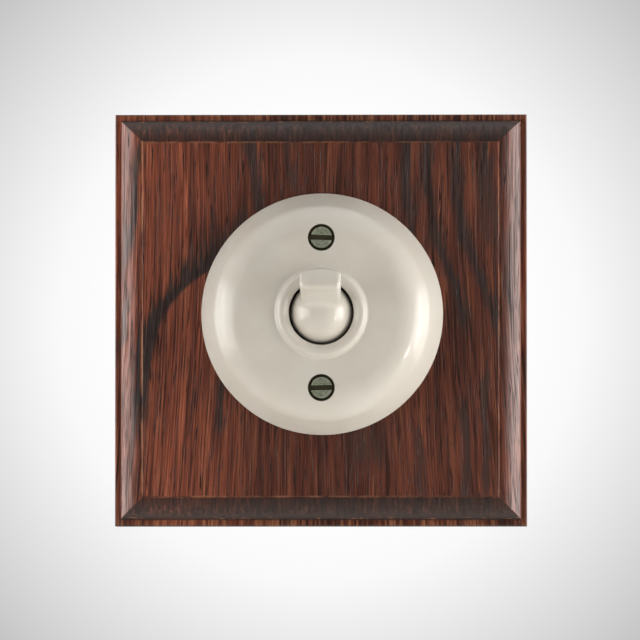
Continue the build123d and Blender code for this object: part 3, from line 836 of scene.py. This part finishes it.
FINISHES: dict[Slot, Finish] = {
    Slot.OAK: StainedOak("stained_waxed_oak", "#5e3323", 0.55, specular=0.1, coat=1.0, coat_roughness=0.34),
    Slot.IVORY: MouldedBakelite(
        "moulded_ivory_bakelite", "#cbc6bc", 0.2, cloud="#c8c1b6",
        recesses=tuple(recess(screw, COUNTERBORE, DIRT_AND_SHADE_LEVEL) for screw in ("cover_screw_upper", "cover_screw_lower")),
    ),
    Slot.BROWN: MouldedBakelite("moulded_brown_bakelite", "#3a2419", 0.32, ior=1.6, cloud="#2a1a13"),
    Slot.BRONZED: TurnedBrass(
        "turned_bronzed_brass", "#a3a896", 0.38, 0.6,
        tarnish="#858b74", tarnish_size=0.8, line=(0.5, 0.5, 0.5), depth=0.004,
    ),
    Slot.ZINC: WorkedMetal("rolled_zinc_plated_steel", "#b4b6b8", 0.38, 1.0, tarnish="#a3a6a8", tarnish_size=6.0),
    Slot.STEEL: WorkedMetal("ground_steel", "#a9abad", 0.25, 1.0, tarnish="#86888a"),
    Slot.FIBRE: MouldedBakelite("vulcanised_fibre", "#4a2a20", 0.6, cloud="#3a2119", cloud_size=0.8),
    Slot.NYLON: MouldedBakelite("turned_nylon", "#d9d3c3", 0.4, cloud="#cfc8b6", cloud_size=2.0),
    Slot.BRASS: WorkedMetal("drawn_brass", "#c8a558", 0.3, 1.0, tarnish="#95773d", tarnish_size=2.5),
    Slot.STRIP: WorkedMetal("rolled_phosphor_bronze", "#b98a55", 0.3, 1.0, tarnish="#8c6238"),
    Slot.SILVER: WorkedMetal("silver_contact", "#d2d0ca", 0.28, 1.0, tarnish="#a29e92", tarnish_size=0.8),
    Slot.PLATED: WorkedMetal("nickel_plated_brass", "#bdb8ab", 0.26, 1.0, tarnish="#948d7c", tarnish_size=1.2),
}


def surface(name: str, points: Array, round_v: bool = True) -> bpy.types.Object:
    """Make a smooth mesh from a grid of points, each station joined to the next and each place to the next.

    Args:
        name: The object's name.
        points: Array of stations by places by three, in metres.
        round_v: Whether the last place joins the first.

    Returns:
        The new object.
    """
    stations, places = points.shape[:2]
    u, v = np.meshgrid(np.arange(stations - 1), np.arange(places if round_v else places - 1), indexing="ij")
    after = (v + 1) % places
    corners = np.stack([u * places + v, u * places + after, (u + 1) * places + after, (u + 1) * places + v], axis=-1)
    mesh = bpy.data.meshes.new(name)
    mesh.from_pydata(points.reshape(-1, 3).tolist(), [], corners.reshape(-1, 4).tolist())
    mesh.polygons.foreach_set("use_smooth", np.ones(len(mesh.polygons), bool))
    made = bpy.data.objects.new(name, mesh)
    bpy.context.scene.collection.objects.link(made)
    return made


@dataclass
class Wardrobe:
    """The finishes as materials, each made on its first use.

    Attributes:
        made: The materials made so far.
    """

    made: dict[Slot, bpy.types.Material]

    def material(self, slot: Slot) -> bpy.types.Material:
        """Return a slot's material.

        Args:
            slot: The record's material slot.

        Returns:
            The material, the same one each time.
        """
        if slot not in self.made:
            self.made[slot] = FINISHES[slot].material()
        return self.made[slot]


@dataclass
class Assembly:
    """CAD nodes that go together and keep their own meshes.

    Attributes:
        title: What the log calls it.
        wardrobe: Where its finishes come from.
        nodes: Names of its nodes, or the starts of their names.
    """

    title: str
    wardrobe: Wardrobe
    nodes: tuple[str, ...]

    def dress(self) -> None:
        """Give each node the finish of its slot, through its own material slot."""
        for name, node in sorted(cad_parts.items()):
            if name.startswith(self.nodes):
                slot = Slot(node.data.materials[0].name.split(".")[0])
                node.data.materials[0] = self.wardrobe.material(slot)
                log.info("%s: %s is %s", self.title, name, slot.value)


@dataclass
class CoverScrew:
    """Turned screw of the cover, whose head shows the lathe's rings and a worn slot.

    Attributes:
        node: The CAD node that it replaces, from which its place and sizes come.
        wardrobe: Where its finish comes from.
        turn: How far it is screwed round, in degrees.
        head_height: Height of the head.
        shank: Radius of the shank.
        rim: Rounding of the head's rim.
        slot_width: Width of the slot.
        slot_depth: Depth of the slot.
        worn: Width over which the slot's edges are worn round.
        ring_pitch: Distance from one turned ring to the next.
        ring_height: Height of the rings.
        ring_valley_shade: Share of painted shade at the bottom of the rings.
        thread_pitch: Pitch of the thread.
        thread_depth: Depth of the thread.
        places: Points round the axis.
        face_steps: Points from the middle of the face to the rim.
        rim_steps: Points over the rim.
        side_steps: Points down the head's side.
        seat_steps: Points under the head.
        shank_steps: Points along the shank.
    """

    node: str
    wardrobe: Wardrobe
    turn: float
    head_height: float = 2.0 * MM
    shank: float = 1.5 * MM
    rim: float = 0.3 * MM
    slot_width: float = 1.1 * MM
    slot_depth: float = 0.9 * MM
    worn: float = 0.12 * MM
    ring_pitch: float = 0.66 * MM
    ring_height: float = 0.02 * MM
    ring_valley_shade: float = 0.35
    thread_pitch: float = 0.7 * MM
    thread_depth: float = 0.2 * MM
    places: int = 180
    face_steps: int = 72
    rim_steps: int = 8
    side_steps: int = 10
    seat_steps: int = 6
    shank_steps: int = 56

    def build(self) -> None:
        """Make the screw in its CAD node's place."""
        low, high = (np.array(corner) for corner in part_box(self.node))
        centre = (low + high) / 2
        points, grime_and_shade = self.points(centre, (high[0] - low[0]) / 2, -low[1], high[1] - low[1])
        made = surface(self.node + "_turned", points)
        made.data.attributes.new("grime_and_shade", "FLOAT", "POINT").data.foreach_set("value", grime_and_shade.ravel())
        made.data.materials.append(self.wardrobe.material(Slot.BRONZED))
        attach(made, "switch")
        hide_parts(self.node)
        log.info("%s: turned head and thread", self.node)

    def points(self, centre: Array, radius: float, face: float, length: float) -> tuple[Array, Array]:
        """Points of the screw and the grime and painted shade on it, one closed surface turned about its axis and then
        slotted.

        The profile runs from the middle of the face, which is raised by a cosine of the radius for the rings,
        over a quarter circle at the rim, down the head's side and under it to the shank, whose radius falls
        by a cosine of depth over pitch less turn for the thread, and ends in a point on the axis. In the slot
        each point sinks to the slot's floor, by a share that rises smoothly over the worn edges.

        Args:
            centre: Middle of the screw's box.
            radius: Radius of the head.
            face: How far the head's face is in front of the wall.
            length: Length of head and shank.

        Returns:
            Array of stations by places by three, in metres, and array of stations by places, from zero to one.
        """
        angle = np.linspace(0, 2 * np.pi, self.places, endpoint=False)
        bend = np.linspace(0, np.pi / 2, self.rim_steps)
        flat = np.linspace(0, radius - self.rim, self.face_steps)
        shank = np.linspace(self.head_height, length - self.shank, self.shank_steps)
        reach = np.concatenate([
            flat,
            radius - self.rim * (1 - np.sin(bend)),
            np.full(self.side_steps, radius),
            np.linspace(radius, self.shank, self.seat_steps),
            np.full(shank.size, self.shank),
            [0.0],
        ])[:, None]
        depth = np.concatenate([
            self.ring_height * (1 - np.cos(2 * np.pi * flat / self.ring_pitch)),
            self.rim * (1 - np.cos(bend)),
            np.linspace(self.rim, self.head_height, self.side_steps),
            np.full(self.seat_steps, self.head_height),
            shank,
            [length],
        ])[:, None]
        threaded = (depth > self.head_height + self.thread_pitch / 2) & (reach > 0)
        groove = (1 - np.cos(2 * np.pi * depth / self.thread_pitch - angle)) / 2
        reach = reach - threaded * self.thread_depth * groove
        x, z = reach * np.cos(angle), reach * np.sin(angle)
        edge = np.clip((self.slot_width / 2 - np.abs(z)) / self.worn + 0.5, 0, 1)
        share = edge**2 * (3 - 2 * edge)
        # Grime and painted shade: full in the slot, and from partway over the rim down the head's side and the shank
        grime_and_shade = np.maximum(share, np.clip(depth / self.rim - 0.5, 0, 1))
        # Painted shade at the bottom of the rings: only the face lies within the rings' depth, twice their height, and
        # a hair more for rounding
        valley, on_face = depth / (2 * self.ring_height), depth < 2.01 * self.ring_height
        grime_and_shade = np.maximum(grime_and_shade, self.ring_valley_shade * valley**2 * on_face)
        depth = depth + share * np.maximum(self.slot_depth - depth, 0)
        lean = math.radians(self.turn)
        across = x * math.cos(lean) - z * math.sin(lean)
        up = x * math.sin(lean) + z * math.cos(lean)
        return np.stack([centre[0] + across, depth - face, centre[2] + up], axis=-1), grime_and_shade


@dataclass(frozen=True)
class Lamp:
    """A softbox that faces the object.

    Attributes:
        name: The lamp's name.
        azimuth: Degrees to the right of the front.
        elevation: Degrees over the horizon.
        size: Width and height in metres.
        power: Watts.
        distance: Metres from the object.
        mirrored: Whether glossy surfaces mirror it.
    """

    name: str
    azimuth: float
    elevation: float
    size: tuple[float, float]
    power: float
    distance: float = 0.7
    mirrored: bool = True


@dataclass
class Studio:
    """Camera, lamps, pale ground and the dark wall behind the camera.

    Attributes:
        azimuth: The camera's place round the object, in degrees to the right of the front.
        elevation: Its height over the horizon, in degrees.
        distance: Its distance, in metres.
        width: Width of the picture at the object, in metres: 640 pixels of 0.2282 mm.
        aim: The point in the picture's middle, in metres.
        floor_level: Height of the floor, in metres.
        floor_half: Half the floor's width, in metres.
        wall_distance: Distance of the dark wall in front of the object, in metres.
        wall_half: Half the dark wall's width, in metres.
        white: Colour of the lamps and of the even light.
        ambient: Strength of the even light from all round.
        lamps: The softboxes.
    """

    azimuth: float = 1.17
    elevation: float = -2.38
    distance: float = 1.75
    width: float = 640 * 0.2282 * MM
    aim: tuple[float, float, float] = (-0.0002, -0.010, 0.0)
    floor_level: float = -0.55
    floor_half: float = 4.0
    wall_distance: float = 2.1
    wall_half: float = 1.6
    white: str = "#fffdfa"
    ambient: float = 0.24
    lamps: tuple[Lamp, ...] = (
        Lamp("front_panel", 14.0, 0.0, (1.2, 1.2), 2.1, 0.9, False),
        Lamp("right_spot", 55.0, -19.0, (0.08, 0.08), 0.45),
        Lamp("right_softbox", 58.0, -4.0, (0.15, 0.30), 0.55),
        Lamp("right_panel", 72.0, -2.0, (0.22, 0.40), 1.6),
        Lamp("right_rear_panel", 100.0, -4.0, (0.80, 0.50), 4.6),
        Lamp("right_low_softbox", 60.0, -30.0, (0.25, 0.20), 0.2),
        Lamp("left_softbox", -52.0, -2.0, (0.18, 0.36), 0.7),
        Lamp("left_panel", -70.0, -1.0, (0.30, 0.45), 1.3),
        Lamp("left_rear_panel", -100.0, 0.0, (0.80, 0.50), 3.6),
        Lamp("top_softbox", 15.0, 55.0, (0.60, 0.40), 0.15),
        Lamp("top_panel", 15.0, 86.0, (0.70, 0.50), 1.1),
        Lamp("low_panel", 10.0, -88.0, (0.60, 0.40), 0.26, 0.5),
    )

    def toward(self, azimuth: float, elevation: float) -> Array:
        """Return the unit vector towards a place so many degrees right of the front and over the horizon."""
        a, e = math.radians(azimuth), math.radians(elevation)
        return np.array([math.sin(a) * math.cos(e), -math.cos(a) * math.cos(e), math.sin(e)])

    def place(self, made: bpy.types.Object, aim: Array, way: Array, distance: float) -> None:
        """Put a lamp or camera at a distance from its aim, facing it.

        Args:
            made: The object.
            aim: The point it faces.
            way: Unit vector from that point to the object.
            distance: Distance in metres.
        """
        made.location = aim + way * distance
        made.rotation_mode = "QUATERNION"
        made.rotation_quaternion = Vector(-way).to_track_quat("-Z", "Y")
        bpy.context.scene.collection.objects.link(made)

    def build(self) -> None:
        """Set up the camera, the world, the lamps and the stage."""
        self.camera()
        self.world()
        for lamp in self.lamps:
            self.light(lamp)
        self.stage()
        bpy.context.scene.view_settings.view_transform = "Standard"

    def camera(self) -> None:
        """Make the camera, looking at its aim from the photograph's side."""
        data = bpy.data.cameras.new("camera")
        data.sensor_width = 36.0
        data.lens = data.sensor_width * self.distance / self.width
        made = bpy.data.objects.new("camera", data)
        self.place(made, np.array(self.aim), self.toward(self.azimuth, self.elevation), self.distance)
        bpy.context.scene.camera = made

    def world(self) -> None:
        """Pale ground that falls off from the view's middle, and an even light for the object."""
        world = bpy.data.worlds.new("studio")
        world.use_nodes = True
        tree = world.node_tree
        tree.nodes.clear()
        middle = -self.toward(self.azimuth, self.elevation)
        way = add(tree, "TexCoord", out="Generated")
        length = add(tree, "VectorMath", {0: way, 1: tuple(middle)}, out="Value", operation="DISTANCE")
        corner = 2 * math.sin(math.atan(self.width / 2 / self.distance))
        radius = add(tree, "Math", {0: length, 1: corner}, operation="DIVIDE")
        tone = set_stops(add(tree, "ValToRGB", {"Fac": radius}), [
            (0.0, "#fdfdfd"),
            (0.33, "#fdfdfd"),
            (0.41, "#f9f9f9"),
            (0.50, "#ebebeb"),
            (0.72, "#c2c2c2"),
            (1.0, "#f4f4f4"),
        ])
        ground = add(tree, "Background", {"Color": tone, "Strength": 1.0})
        light = add(tree, "Background", {"Color": linear(self.white), "Strength": self.ambient})
        path = add(tree, "LightPath", out="Is Camera Ray")
        seen = path
        for ray in ("Is Glossy Ray", "Is Transmission Ray"):
            seen = add(tree, "Math", {0: seen, 1: path.node.outputs[ray]}, operation="MAXIMUM")
        mixed = add(tree, "MixShader", {0: seen, 1: light, 2: ground})
        add(tree, "OutputWorld", {"Surface": mixed})
        bpy.context.scene.world = world

    def light(self, lamp: Lamp) -> None:
        """Hang a softbox.

        Args:
            lamp: Its place, size and power.
        """
        data = bpy.data.lights.new(lamp.name, "AREA")
        data.shape = "RECTANGLE"
        data.size, data.size_y = lamp.size
        data.energy = lamp.power
        data.color = linear(self.white)[:3]
        made = bpy.data.objects.new(lamp.name, data)
        self.place(made, np.zeros(3), self.toward(lamp.azimuth, lamp.elevation), lamp.distance)
        made.visible_camera = False
        made.visible_glossy = lamp.mirrored

    def stage(self) -> None:
        """Lay a pale floor, and put a dark wall behind the camera that only reflections see."""
        grid = np.linspace(-1, 1, 3)
        a, b = np.meshgrid(grid, grid, indexing="ij")
        level = np.full_like(a, self.floor_level)
        floor = surface("floor", np.stack([self.floor_half * a, self.floor_half * b, level], -1), False)
        floor.data.materials.append(PaleFloor("pale_floor", "#eeece8", 0.8).material())
        front = np.full_like(a, -self.wall_distance)
        wall = surface("dark_wall", np.stack([self.wall_half * a, front, self.wall_half * b], -1), False)
        wall.data.materials.append(Finish("dark_studio_wall", "#141414", 1.0).material())
        for seen in ("visible_camera", "visible_diffuse", "visible_transmission", "visible_shadow"):
            setattr(wall, seen, False)


def main() -> None:
    """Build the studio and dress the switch."""
    logging.basicConfig(level=logging.INFO)
    Studio().build()
    wardrobe = Wardrobe({})
    Assembly("plate", wardrobe, ("wood_plate", "mounting_plate", "base_screw", "earth")).dress()
    Assembly("cover", wardrobe, ("cover",)).dress()
    Assembly("lever", wardrobe, ("dolly",)).dress()
    Assembly("switch", wardrobe, (
        "switch_base", "pivot_frame", "rocker", "fixed", "contact", "fulcrum", "terminal",
    )).dress()
    CoverScrew("cover_screw_upper", wardrobe, -2.0).build()
    CoverScrew("cover_screw_lower", wardrobe, 1.0).build()


if __name__ == "__main__":
    main()
